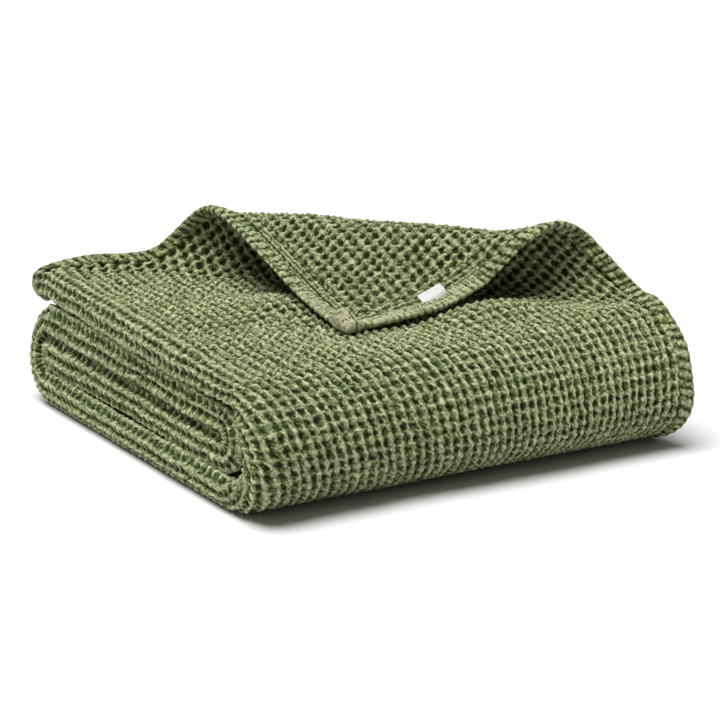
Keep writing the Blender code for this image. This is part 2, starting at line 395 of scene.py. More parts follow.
def drifted(tree, vector, noise, amount):
    drift = vectorNode(tree, "SUBTRACT", noise["Color"], (0.5, 0.5, 0.5))
    return vectorNode(tree, "ADD", vector, vectorNode(tree, "SCALE", drift, amount))


# The weave
weaveSizes = {
    "cellAcross": 0.0093, "cellAlong": 0.0107,
    # how far the columns lean down the front, from its right end to its left
    "leanAcross": (0.050, 0.220, 0.400), "leans": (-0.080, 0.154, 0.250),
    # the turned back corner is pulled out of square, and its rows a little closer
    "flapFrom": -0.030, "flapTo": 0.120, "flapMiddle": 0.050, "flapLean": 0.226, "flapRows": 0.10,
    "facesPerCell": 7,
    "depth": 0.0024, "innerDepth": 0.0018,
    # the columns stand over the rows down the front and on the left fold
    "topColumns": 0.50, "frontColumns": 0.72, "frontAlong": (-0.12, 0.03), "foldAcross": -0.03,
    # the relief is less over the bend, and down the front and the folded ends
    "bendMiddle": 0.088, "bendReach": 0.055, "bendLess": 0.38, "frontLess": 0.14,
    # and beside the turned back hems, where fine lines run beside their stitches
    "hemReach": 0.200, "hemWithin": (0.016, 0.042), "hemLess": 0.60, "hemCalm": 0.70, "hemLine": 0.0044,
    "lumpScale": 3.1,
}
# what the weave's tree takes: drifts in cells, and how far cells and yarn differ
weaveInputs = {"Warp": 0.46, "Ripple": 0.44, "Fray": 0.27, "Lumps": 1.00, "Uneven": 0.95, "Seed": 7.0}
driftScales = {"Warp": 0.55, "Ripple": 1.5, "Fray": 3.4}


# Where the cloth lies before its corner turns back, and whether it is the top ply
def flatPlace(across, along):
    station = stationAt(along)
    x, height, nx, nz = sectionAt(across, station["left"], station["right"])
    outer = across <= clothSizes["plyWidth"]
    return x, topReach(station["y"], x, height, outer), outer & (along < topLength)


# The cloth's own place, counted in cells of its weave
def weavePlace(across, along):
    x, y, onTop = flatPlace(across, along)
    rows = np.where(along < topLength, topLength - (y - clothSizes["fronts"][0]), along)
    lean = np.interp(across, weaveSizes["leanAcross"], weaveSizes["leans"])
    columns = across + lean * np.clip(along - topLength, 0, stages[1]["length"])
    pulled = smooth(shareOf((x + y) / math.sqrt(2), weaveSizes["flapFrom"], weaveSizes["flapTo"]))
    pulled = np.where(onTop, pulled * (y - weaveSizes["flapMiddle"]), 0)
    columns = columns + weaveSizes["flapLean"] * pulled
    rows = rows - weaveSizes["flapRows"] * pulled
    return np.stack([columns / weaveSizes["cellAcross"], rows / weaveSizes["cellAlong"],
                     np.zeros_like(columns)], -1)


def bendShare(across, along):
    # 1 over the top of the turned back corner's bend, 0 away from it
    x, y, onTop = flatPlace(across, along)
    off = np.abs((x + y) / math.sqrt(2) - weaveSizes["bendMiddle"]) / weaveSizes["bendReach"]
    return np.where(onTop, smooth(np.clip(1 - off, 0, 1)), 0)


def namedNode(tree, name, kind):
    node = tree.nodes.new("GeometryNodeInputNamedAttribute")
    node.data_type = kind
    node.inputs["Name"].default_value = name
    return node.outputs["Attribute"]


def newTree(name, inputs):
    # a geometry in and out, and a named input for each (name, kind, value)
    tree = bpy.data.node_groups.new(name, "GeometryNodeTree")
    tree.interface.new_socket("Geometry", in_out="INPUT", socket_type="NodeSocketGeometry")
    for label, kind, value in inputs:
        socket = tree.interface.new_socket(label, in_out="INPUT", socket_type=kind)
        if value is not None:
            socket.default_value = value
    tree.interface.new_socket("Geometry", in_out="OUTPUT", socket_type="NodeSocketGeometry")
    return tree, tree.nodes.new("NodeGroupInput"), tree.nodes.new("NodeGroupOutput")


def finishTree(tree, geometry, groupIn, groupOut):
    realize = tree.nodes.new("GeometryNodeRealizeInstances")
    setMaterial = tree.nodes.new("GeometryNodeSetMaterial")
    tree.links.new(geometry, realize.inputs[0])
    tree.links.new(realize.outputs[0], setMaterial.inputs["Geometry"])
    tree.links.new(groupIn.outputs["Finish"], setMaterial.inputs["Material"])
    tree.links.new(setMaterial.outputs[0], groupOut.inputs[0])


def weaveWaves(tree, place, amounts, seed):
    # the cloth's own place, drifting a little, and the waves across and along its cells
    warped = place
    for name, scale in driftScales.items():
        warped = drifted(tree, warped, noiseNode(tree, place, scale, 1.0, seed=seed), amounts[name])
    waves = [mathNode(tree, "COSINE", mathNode(tree, "MULTIPLY", part, 2 * math.pi))
             for part in splitNode(tree, warped)[:2]]
    return warped, waves


def hollowNode(tree, waves, sign):
    # 1 in the middle of a pit of the face (sign -1) or of the reverse (1), 0 on its ribs
    sides = [mathNode(tree, "MULTIPLY_ADD", wave, 0.5 * sign, 0.5) for wave in waves]
    return mathNode(tree, "MULTIPLY", *sides, clamp=True)


# Raises the ribs and sinks the pits of the waffle weave over a plain sheet
def waffleTree():
    tree, groupIn, groupOut = newTree("waffleWeave", (
        ("Depth", "NodeSocketFloat", weaveSizes["depth"]),
        *[(name, "NodeSocketFloat", value) for name, value in weaveInputs.items()],
        ("Finish", "NodeSocketMaterial", None)))
    sockets = groupIn.outputs
    calc = partial(mathNode, tree)
    warped, waves = weaveWaves(tree, namedNode(tree, "cellPlace", "FLOAT_VECTOR"), sockets, sockets["Seed"])
    facePit, reversePit = [hollowNode(tree, waves, sign) for sign in (-1, 1)]
    height = calc("SUBTRACT", reversePit, facePit)
    lead = calc("SUBTRACT", namedNode(tree, "columnShare", "FLOAT"), 0.5)
    height = calc("ADD", height, calc("MULTIPLY", lead, calc("SUBTRACT", *waves)))
    # each cell is a little deeper or shallower than the next
    cell = tree.nodes.new("ShaderNodeTexWhiteNoise")
    cell.noise_dimensions = "4D"
    tree.links.new(vectorNode(tree, "FLOOR", warped), cell.inputs["Vector"])
    tree.links.new(sockets["Seed"], cell.inputs["W"])
    spread = calc("MULTIPLY", calc("SUBTRACT", cell.outputs["Value"], 0.5), sockets["Uneven"])
    height = calc("ADD", height, calc("MULTIPLY", spread, facePit))
    # lumps of the yarn itself
    lumps = noiseNode(tree, warped, weaveSizes["lumpScale"], 1.0)[0]
    lumps = calc("MULTIPLY", calc("SUBTRACT", lumps, 0.5), sockets["Lumps"])
    height = calc("MULTIPLY", calc("ADD", height, lumps), sockets["Depth"])
    move = tree.nodes.new("GeometryNodeSetPosition")
    tree.links.new(sockets["Geometry"], move.inputs["Geometry"])
    offset = vectorNode(tree, "SCALE", namedNode(tree, "clothFacing", "FLOAT_VECTOR"), height)
    tree.links.new(offset, move.inputs["Offset"])
    finishTree(tree, move.outputs["Geometry"], groupIn, groupOut)
    return tree


# Sets the tree's inputs by identifier, and turns its result into a plain mesh
def applyTree(piece, tree, values):
    modifier = piece.modifiers.new(tree.name, "NODES")
    modifier.node_group = tree
    for item in tree.interface.items_tree:
        if item.item_type == "SOCKET" and item.in_out == "INPUT" and item.name in values:
            modifier[item.identifier] = values[item.name]
    graph = bpy.context.evaluated_depsgraph_get()
    mesh = bpy.data.meshes.new_from_object(
        piece.evaluated_get(graph), preserve_all_data_layers=True, depsgraph=graph)
    piece.modifiers.remove(modifier)
    old, piece.data = piece.data, mesh
    bpy.data.meshes.remove(old)
    mesh.name = piece.name
    return piece


# Finishes
cottonLook = {
    # colours from a rib down into a pit: the middle and pit colours are painted shade in the weave's hollows
    "pitShade": (0.014, 0.024, 0.003), "middle": (0.130, 0.170, 0.054), "rib": (0.490, 0.525, 0.322),
    # the hem's darker colour is painted shade between its loops
    "hem": (0.500, 0.500, 0.330), "hemShadeDark": (0.125, 0.142, 0.056),
    "roughness": 0.95, "Sheen Weight": 0.06, "Sheen Roughness": 0.5, "Specular IOR Level": 0.12,
    "stops": (0.12, 0.42, 0.76),      # rib, middle and pit, on the way down into a cell
    "hemStops": (0.12, 0.55, 0.95),
    "pitShare": 0.42,                 # of a cell's shade that is its pit, and the rest its knobs
    "uneven": (0.48, 0.92),           # least depth of a cell's pit, and how much more it may be
    "knobs": 0.86, "knobEdge": (4.0, -2.6), "knobRise": 0.55,   # some pits show a small knob of yarn, with less painted shade
    "calm": 0.95, "calmTo": 0.30,     # the weave's painted shade is less down the front
    "hemLine": 0.24,                  # fine lines that run beside the turned back hems, with painted shade in their grooves
    "reverse": 0.86,                  # the reverse is painted a little darker: painted shade on the turned back corner
    # yarnShade sets the painted highlight and painted shade along the yarns
    "yarns": 2.0, "yarnSlant": 0.8, "yarnShade": 0.70, "hemYarn": 0.35,
    "strayScale": 1.7, "stray": 0.5, "rowsEdge": (1.5, 0.35),
    "speckle": 1.75, "speckleScale": 330.0, "speckleDetail": (3.0, 0.65),
    "patchScale": 22.0, "patchDetail": (3.0, 0.6), "patchShare": 0.35, "patchTint": (0.34, 0.36, 0.12),
    "bump": 1.0, "bumpDepth": 0.0021, "yarnBump": 0.36,
    "stitchAt": 0.84, "stitches": 2.5,          # where in from the hem's edge, and how many, in cells
    "stitchEdge": (-11.0, 1.0), "stitchGap": (1.6, 0.2),
}
tapeLook = {
    "white": (0.74, 0.74, 0.74), "shade": (0.62, 0.62, 0.61), "roughness": 0.6,
    "weaveScale": 24.0, "weaveGap": 0.03, "fibreScale": 900.0, "fibreShare": 0.5,
    "bump": 0.25, "bumpDepth": 0.0002,
}


def newMaterial(name, roughness):
    material = bpy.data.materials.new(name)
    material.use_nodes = True
    shader = material.node_tree.nodes["Principled BSDF"]
    shader.inputs["Roughness"].default_value = roughness
    return material, material.node_tree, shader


def rampNode(tree, value, places, colours):
    node = tree.nodes.new("ShaderNodeValToRGB")
    ramp = node.color_ramp
    while len(ramp.elements) < len(places):
        ramp.elements.new(0.5)
    for element, place, colour in zip(ramp.elements, places, colours):
        element.position = place
        element.color = (*cottonLook[colour], 1.0)
    tree.links.new(value, node.inputs[0])
    return node.outputs["Color"]


def mixColours(tree, factor, first, second, blend="MIX"):
    node = tree.nodes.new("ShaderNodeMix")
    node.data_type, node.blend_type = "RGBA", blend
    for value, index in ((factor, 0), (first, 6), (second, 7)):
        if isinstance(value, tuple):
            value = (*value, 1.0)
        linkInto(tree, value, node.inputs[index])
    return node.outputs[2]


def shaded(tree, colour, value):
    shade = tree.nodes.new("ShaderNodeCombineColor")
    for socket in shade.inputs[:3]:
        tree.links.new(value, socket)
    return mixColours(tree, 1.0, colour, shade.outputs[0], "MULTIPLY")


def attributeNode(tree, name, output="Fac"):
    node = tree.nodes.new("ShaderNodeAttribute")
    node.attribute_name = name
    return node.outputs[output]


def bumpInto(tree, shader, height, look):
    bump = tree.nodes.new("ShaderNodeBump")
    bump.inputs["Strength"].default_value = look["bump"]
    bump.inputs["Distance"].default_value = look["bumpDepth"]
    tree.links.new(height, bump.inputs["Height"])
    tree.links.new(bump.outputs[0], shader.inputs["Normal"])


def yarnNode(tree, warped, waves, side):
    # yarns about three millimetres wide run along the ribs that they float on
    calc = partial(mathNode, tree)
    stray = noiseNode(tree, warped, cottonLook["strayScale"], 1.0)
    split = splitNode(tree, drifted(tree, warped, stray, cottonLook["stray"]))
    yarns = []
    for along, other in ((0, 1), (1, 0)):
        twist = calc("ADD", calc("MULTIPLY", split[along], cottonLook["yarns"]),
                     calc("MULTIPLY", split[other], cottonLook["yarnSlant"]))
        yarns.append(calc("SINE", calc("MULTIPLY", twist, 2 * math.pi)))
    rows = calc("MULTIPLY", calc("SUBTRACT", waves[1], waves[0]), side)
    rows = calc("MULTIPLY_ADD", rows, *cottonLook["rowsEdge"], clamp=True)
    yarn = calc("ADD", yarns[0], calc("MULTIPLY", rows, calc("SUBTRACT", yarns[1], yarns[0])))
    return calc("MULTIPLY_ADD", yarn, 0.5, 0.5)


# How deep each point of a hem lies, with the pricks of its stitches, and its colour, with painted shade the
# deeper it lies and in the pricks
def hemShade(tree, place, loose):
    calc = partial(mathNode, tree)
    relief, pale = attributeNode(tree, "relief"), attributeNode(tree, "pale")
    # the stitches' pricks are small holes, painted darker as painted shade
    split = splitNode(tree, place)
    off = calc("ABSOLUTE", calc("SUBTRACT", split[0], cottonLook["stitchAt"]))
    prick = calc("MULTIPLY_ADD", off, *cottonLook["stitchEdge"], clamp=True)
    beat = calc("SINE", calc("MULTIPLY", split[1], cottonLook["stitches"] * 2 * math.pi))
    prick = calc("MULTIPLY", prick, calc("MULTIPLY_ADD", beat, *cottonLook["stitchGap"], clamp=True))
    deep = calc("ADD", calc("MULTIPLY_ADD", relief, -0.5, 0.5), loose, clamp=True)
    deep = calc("ADD", deep, calc("MULTIPLY", prick, pale), clamp=True)
    plain = rampNode(tree, deep, cottonLook["stops"], ("rib", "middle", "pitShade"))
    paler = rampNode(tree, deep, cottonLook["hemStops"], ("hem", "hemShadeDark", "pitShade"))
    return deep, mixColours(tree, pale, plain, paler)


# How deep each point of the weave lies, from a rib's knob down into a pit, and its colour, with painted
# shade the deeper it lies
def weaveShade(tree, warped, waves, loose, reverse, side):
    calc = partial(mathNode, tree)
    turned = [calc("MULTIPLY", wave, side) for wave in waves]
    pitShade = hollowNode(tree, turned, -1)
    cell = tree.nodes.new("ShaderNodeTexWhiteNoise")
    half = vectorNode(tree, "SCALE", (0.5, 0.5, 0.0), reverse)
    tree.links.new(vectorNode(tree, "FLOOR", vectorNode(tree, "ADD", warped, half)), cell.inputs["Vector"])
    least, more = cottonLook["uneven"]
    knob = calc("GREATER_THAN", cell.outputs["Value"], cottonLook["knobs"])
    knob = calc("MULTIPLY", knob, calc("MULTIPLY_ADD", pitShade, *cottonLook["knobEdge"], clamp=True))
    pitShade = calc("MULTIPLY", pitShade, calc("MULTIPLY_ADD", cell.outputs["Value"], more, least))
    pitShade = calc("SUBTRACT", pitShade, calc("MULTIPLY", knob, cottonLook["knobRise"]))
    # ribs cross in knobs, and the columns stand over the rows, which get more painted shade
    stand = calc("MULTIPLY", attributeNode(tree, "columnShare"), calc("SUBTRACT", *turned))
    low = calc("MULTIPLY_ADD", calc("ADD", stand, turned[1]), -0.5, 0.5)
    deep = calc("ADD", low, calc("MULTIPLY", calc("SUBTRACT", pitShade, low), cottonLook["pitShare"]))
    # the painted shade is less down the front and beside the turned back hems, where fine lines run with
    # painted shade in their grooves
    calm = calc("MULTIPLY", calc("SUBTRACT", cottonLook["calmTo"], deep), attributeNode(tree, "calm"))
    place, strength, _ = splitNode(tree, attributeNode(tree, "hemLines", "Vector"))
    lines = calc("SINE", calc("MULTIPLY", place, 2 * math.pi))
    lines = calc("MULTIPLY", lines, calc("MULTIPLY", strength, cottonLook["hemLine"]))
    deep = calc("ADD", calc("ADD", deep, calc("ADD", calm, lines)), loose, clamp=True)
    # painted shade: darker from rib through middle to pit
    colour = rampNode(tree, deep, cottonLook["stops"], ("rib", "middle", "pitShade"))
    # the reverse is painted darker, as painted shade on the turned back corner
    return deep, shaded(tree, colour, calc("MULTIPLY_ADD", reverse, cottonLook["reverse"] - 1, 1.0))


def cottonMaterial(name, hem=False):
    material, tree, shader = newMaterial(name, cottonLook["roughness"])
    for key in ("Sheen Weight", "Sheen Roughness", "Specular IOR Level"):
        shader.inputs[key].default_value = cottonLook[key]
    calc = partial(mathNode, tree)
    coordinates = tree.nodes.new("ShaderNodeTexCoord").outputs["Object"]
    place = attributeNode(tree, "cellPlace", "Vector")
    # both faces of the cloth have pits, half a cell apart
    reverse = tree.nodes.new("ShaderNodeNewGeometry").outputs["Backfacing"]
    side = calc("MULTIPLY_ADD", reverse, -2.0, 1.0)
    warped, waves = weaveWaves(tree, place, weaveInputs, weaveInputs["Seed"])
    yarn = yarnNode(tree, warped, waves, 1.0 if hem else side)
    fuzz = noiseNode(tree, coordinates, cottonLook["speckleScale"], *cottonLook["speckleDetail"])[0]
    loose = calc("MULTIPLY", calc("SUBTRACT", fuzz, 0.5), cottonLook["speckle"])
    if hem:
        deep, colour = hemShade(tree, place, loose)
    else:
        deep, colour = weaveShade(tree, warped, waves, loose, reverse, side)
    yarnShare = cottonLook["hemYarn"] if hem else 1
    height = calc("SUBTRACT", calc("MULTIPLY", yarn, cottonLook["yarnBump"] * yarnShare), deep)
    bumpInto(tree, shader, height, cottonLook)
    patches = noiseNode(tree, coordinates, cottonLook["patchScale"], *cottonLook["patchDetail"])[0]
    patches = calc("MULTIPLY", patches, cottonLook["patchShare"])
    colour = mixColours(tree, patches, colour, cottonLook["patchTint"], "OVERLAY")
    # the yarns' twist is painted into the colour too: lighter and darker stripes as painted highlight and
    # painted shade
    shade = cottonLook["yarnShade"] * yarnShare
    colour = shaded(tree, colour, calc("MULTIPLY_ADD", yarn, shade, 1 - shade / 2))
    tree.links.new(colour, shader.inputs["Base Color"])
    return material


def tapeMaterial():
    material, tree, shader = newMaterial("whiteWovenTape", tapeLook["roughness"])
    coordinates = tree.nodes.new("ShaderNodeTexCoord").outputs["Object"]
    weave = tree.nodes.new("ShaderNodeTexBrick")
    weave.inputs["Scale"].default_value = tapeLook["weaveScale"]
    weave.inputs["Mortar Size"].default_value = tapeLook["weaveGap"]
    tree.links.new(attributeNode(tree, "cellPlace", "Vector"), weave.inputs["Vector"])
    fibres = noiseNode(tree, coordinates, tapeLook["fibreScale"], 2.0)[0]
    share = mathNode(tree, "MULTIPLY", fibres, tapeLook["fibreShare"])
    colour = mixColours(tree, share, tapeLook["white"], tapeLook["shade"])
    tree.links.new(colour, shader.inputs["Base Color"])
    height = mathNode(tree, "ADD", fibres, weave.outputs["Fac"])
    bumpInto(tree, shader, height, tapeLook)
    return material


sageCotton = cottonMaterial("sageWaffleCotton")
hemCotton = cottonMaterial("sageHemCotton", hem=True)
whiteTape = tapeMaterial()
waffle = waffleTree()
print("finishes made")

# The sheets of cloth
sheetSizes = {
    "hemStart": 0.0055,               # the weave starts under the hem
    "lip": 0.012,                     # how much of the lowest ply is woven past the left fold
    "inside": 0.014, "rightFold": 0.020,        # how far in the weave goes from a fold
    "hiddenStep": 0.009, "undersideStep": 0.0031, "innerSteps": (0.0070, 0.0080),
    # folds that lie between others are a little fuller, and nearly close the gaps at the left end
    "fuller": 0.0025, "fullerSideways": 2.4, "fullerFrom": 0.006, "fullerOver": 0.028,
    "innerFullerFrom": -0.045,
}


def spacedOut(*spans):
    # places along a line: each span is (start, end, step)
    places = [np.linspace(start, end, max(2, round((end - start) / step) + 1)) for start, end, step in spans]
    return np.unique(np.round(np.concatenate(places), 6))


def makeCloth(name, across, along, depth):
    u, v = np.meshgrid(across, along)
    width = clothSizes["plyWidth"]
    start = width + np.where(v > stages[4]["from"], sheetSizes["innerFullerFrom"], sheetSizes["fullerFrom"])
    fuller = smooth(shareOf(u, start, start + sheetSizes["fullerOver"])) * (depth == weaveSizes["depth"])
    _, facing = livingPoint(u, v, 0.0)
    sideways = np.clip(np.abs(facing[..., 0]), 0, 1)
    upright = np.sqrt(1 - sideways ** 2)
    fuller = sheetSizes["fuller"] * fuller * upright * (1 + sheetSizes["fullerSideways"] * sideways)
    points, facing = livingPoint(u, v, fuller + hangLift(u, v))
    mesh = gridMesh(name, points)
    addAttribute(mesh, "cellPlace", weavePlace(u, v))
    # how far the weave is that of the front, and how far it is drawn flat by the hems
    lead = smooth(shareOf(v - topLength, *weaveSizes["frontAlong"]))
    lead = np.maximum(lead, smooth(shareOf(u, width + weaveSizes["foldAcross"], width)))
    drawn = besideHems(u, v, weaveSizes["hemReach"], weaveSizes["hemWithin"])
    less = weaveSizes["frontLess"] * lead + weaveSizes["bendLess"] * bendShare(u, v)
    less = less + weaveSizes["hemLess"] * drawn * (1 - less)
    more = lead * (weaveSizes["frontColumns"] - weaveSizes["topColumns"])
    addAttribute(mesh, "clothFacing", facing * (1 - less)[..., None])
    addAttribute(mesh, "columnShare", weaveSizes["topColumns"] + more)
    addAttribute(mesh, "calm", cottonLook["calm"] * more + weaveSizes["hemCalm"] * drawn)
    addAttribute(mesh, "hemLines", np.stack([np.minimum(u, v) / weaveSizes["hemLine"], drawn, 0 * u], -1))
    return applyTree(addObject(name, mesh), waffle, {**weaveInputs, "Depth": depth, "Finish": sageCotton})


def makeCloths():
    width, hemStart = clothSizes["plyWidth"], sheetSizes["hemStart"]
    lipEnd = width + foldArcs[0] + sheetSizes["lip"]      # past the left fold
    rightStart = 2 * width + foldArcs[0]                  # where the right fold starts
    rightSpan = rightStart - sheetSizes["rightFold"], rightStart + foldArcs[1] + sheetSizes["rightFold"]
    fineAcross = weaveSizes["cellAcross"] / weaveSizes["facesPerCell"]
    fineAlong = weaveSizes["cellAlong"] / weaveSizes["facesPerCell"]
    innerAcross, innerAlong = sheetSizes["innerSteps"]
    inside = width - sheetSizes["inside"]
    lip = (inside, lipEnd, fineAcross)
    everywhere = [(hemStart, lipEnd, fineAcross)]
    lipOnly = [(hemStart, inside, sheetSizes["hiddenStep"]), lip]
    underside = [(hemStart, inside, sheetSizes["undersideStep"]), lip]
    stops = [hemStart] + [stage["from"] for stage in stages[1:]] + [stripLength - hemStart]
    whole, full = (stops[0], stops[-1]), weaveSizes["depth"]
    layers = (("topCloth", everywhere), ("frontCloth", everywhere), ("underCloth", underside),
              ("rearCloth", everywhere), ("thirdLayerCloth", lipOnly), ("innerTurnCloth", lipOnly),
              ("secondLayerCloth", lipOnly))
    plans = [(name, spans, span, fineAlong, full)
             for (name, spans), span in zip(layers, zip(stops, stops[1:]))]
    plans += [
        ("rightFoldCloth", [(*rightSpan, fineAcross)], whole, fineAlong, weaveSizes["innerDepth"]),
        ("lowestPlyCloth", [(lipEnd, rightSpan[0], innerAcross)], whole, innerAlong, 0.0),
        ("innerPlyCloth", [(rightSpan[1], sectionLength - hemStart, innerAcross)], whole, innerAlong, 0.0),
    ]
    cloths = []
    for name, spans, (start, end), step, depth in plans:
        across = spacedOut(*spans)
        piece = makeCloth(name, across, spacedOut((start, end, step)), depth)
        cloths.append((piece, (across[-1] - across[0], end - start)))
        print("made", name, len(piece.data.polygons) * 2)
    return cloths


cloths = makeCloths()

# Hems: a rolled edge of small loops, a sewn groove, and a thin cord inside it
hemSizes = {
    "roll": 0.0084, "rollThick": 0.0080, "cord": 0.0054, "cordThick": 0.0062, "groove": 0.58,
    "loopPitch": 0.0076, "loopDepth": 0.42, "loopRound": 0.6,
    "cordPitch": 0.0041, "cordLess": 0.24, "cordRound": 0.7,
    # past the pale part the weave itself is rolled in, and shows as knots
    "knotPitch": 0.0093, "knotGrow": 0.10, "knotDeeper": -0.02, "knotRound": 0.7,
    "ridges": 1.5, "ridgeShare": 0.30, "ridgeRound": 0.7,       # along the roll, between its loops
    "slant": 0.35, "stray": 0.35, "strayPitch": 0.014, "swell": (0.88, 1.10), "evenShare": 0.72,
    "around": 26, "step": 0.00125, "hiddenStep": 0.0040, "seed": 5,
    "drawIn": 0.22,                   # the edge follows its loops in and out
    "sidePale": 0.170, "endPale": 0.085, "paleFade": 0.015, "pale": 0.54,
    "loopShade": 1.7, "cordShade": 1.5, "shadeFrom": -0.63, "paleLift": 0.565, "paleFlat": 0.30,
}


def hemProfile():
    # how far in from the edge the outline is, and how far off the ply's middle
    turn = np.linspace(0, 2 * math.pi, hemSizes["around"], endpoint=False)
    inward = (hemSizes["roll"] + hemSizes["cord"]) * (1 - np.cos(turn)) / 2
    inRoll = np.clip(inward / hemSizes["roll"], 0, 1)
    inCord = np.clip((inward - hemSizes["roll"]) / hemSizes["cord"], 0, 1)
    thick = np.maximum(hemSizes["rollThick"] * np.sqrt(np.clip(1 - (2 * inRoll - 1) ** 2, 0, 1)),
                       hemSizes["cordThick"] * np.sqrt(np.clip(1 - (2 * inCord - 1) ** 2, 0, 1)))
    offEdges = np.sin(turn) ** 2 > 0.02           # the groove doesn't thicken the two edges
    thick = np.maximum(thick, hemSizes["groove"] * hemSizes["rollThick"] * offEdges)
    return inward, thick / 2 * np.sign(np.sin(turn) + 1e-9), inward < hemSizes["roll"]


def makeHem(name, placeOf, length, paleTo, step=hemSizes["step"]):
    # placeOf gives (across, along) for a place in from the edge and along it
    inward, off, inRoll = hemProfile()
    along = np.linspace(0, length, round(length / step) + 1)
    random = np.random.default_rng(hemSizes["seed"])
    marks = np.linspace(0, length, round(length / hemSizes["strayPitch"]))
    stray = np.interp(along, marks, random.uniform(-hemSizes["stray"], hemSizes["stray"], len(marks)))
    swell = np.interp(along, marks, random.uniform(*hemSizes["swell"], len(marks)))[:, None]
    pale = shareOf(along, paleTo - hemSizes["paleFade"], paleTo + hemSizes["paleFade"])
    pale = (1 - smooth(pale))[:, None]
    slanted = along[:, None] + hemSizes["slant"] * inward

    def beads(pitch, power):
        phase = slanted / pitch + stray[:, None]
        spare, even = 2, hemSizes["evenShare"]    # some more beads than fit, as they stray past the ends
        sizes = random.uniform(0.0, 1.0, int(length / pitch) + 3 * spare)
        size = sizes[np.floor(phase).astype(int) + spare]
        return np.abs(np.sin(math.pi * phase)) ** power * (even + (1 - even) * size)

    ridges = np.abs(np.cos(math.pi * inward / hemSizes["roll"] * hemSizes["ridges"]))
    ridges = 1 - hemSizes["ridgeShare"] * (1 - ridges ** hemSizes["ridgeRound"])
    knots = beads(hemSizes["knotPitch"], hemSizes["knotRound"]) * ridges
    loops = knots + pale * (beads(hemSizes["loopPitch"], hemSizes["loopRound"]) - knots)
    cords = beads(hemSizes["cordPitch"], hemSizes["cordRound"])
    knots = beads(hemSizes["knotPitch"], hemSizes["knotRound"])
    cords = knots + pale * (cords - knots)
    deep = hemSizes["loopDepth"] + (1 - pale) * hemSizes["knotDeeper"]
    cordSize = 1 - (deep - hemSizes["cordLess"]) * (1 - cords)
    size = np.where(inRoll, (1 - deep * (1 - loops)) * swell, cordSize)
    size = size * (1 + hemSizes["knotGrow"] * (1 - pale))
    reach = np.where(inRoll, inward - (hemSizes["roll"] - inward) * hemSizes["drawIn"] * (size - 1), inward)
    span = np.broadcast_to(along[:, None], reach.shape)
    u, v = placeOf(reach, span)
    points, _ = livingPoint(u, v, off * size + hangLift(u, v))
    # painted shade: darker between the loops and cords, lighter on their tops, less so on the pale part
    shade = np.where(inRoll, hemSizes["loopShade"] * loops, hemSizes["cordShade"] * cords)
    paler = hemSizes["paleLift"] - hemSizes["paleFlat"] * shade
    shade = shade + hemSizes["shadeFrom"] + pale * paler
    cell = weaveSizes["cellAcross"]
    return finishHem(name, points, reach / cell, span / cell, shade, hemSizes["pale"] * pale)


def finishHem(name, points, u, v, shade, pale):
    mesh = gridMesh(name, points, closedAcross=True)
    addAttribute(mesh, "cellPlace", np.stack([u, v, np.zeros_like(u)], -1))
    # relief sets the painted shade of the hem's colour, and its bump
    addAttribute(mesh, "relief", np.clip(shade, -1, 1))
    addAttribute(mesh, "pale", np.broadcast_to(pale, u.shape))
    mesh.materials.append(hemCotton)
    return addObject(name, mesh)


tuckSizes = {
    "long": 0.0260, "wide": 0.0190, "thick": 0.0084, "rings": 48,
    "middleAcross": 0.0112, "middleAlong": 0.0080,
    "riseLong": 0.0075, "riseWide": 0.0035, "riseOver": (0.022, 0.016),    # it rises inwards from the tip
    "crease": 0.40, "creaseSlant": 0.10, "creaseWidth": 0.06, "creaseDepth": 0.0016, "step": 0.0012,
    "slit": (0.45, -0.35), "slitSize": (0.05, 0.22), "slitDepth": 0.0016,
    "relief": 0.70, "slitShade": 1.6, "creaseShade": 1.3,
    # how square and how round it is across and at its two ends, and how much they narrow
    "square": (8, 10), "round": (0.4, 0.35), "narrow": 0.25, "tip": 0.02, "stepOver": 0.15,
}


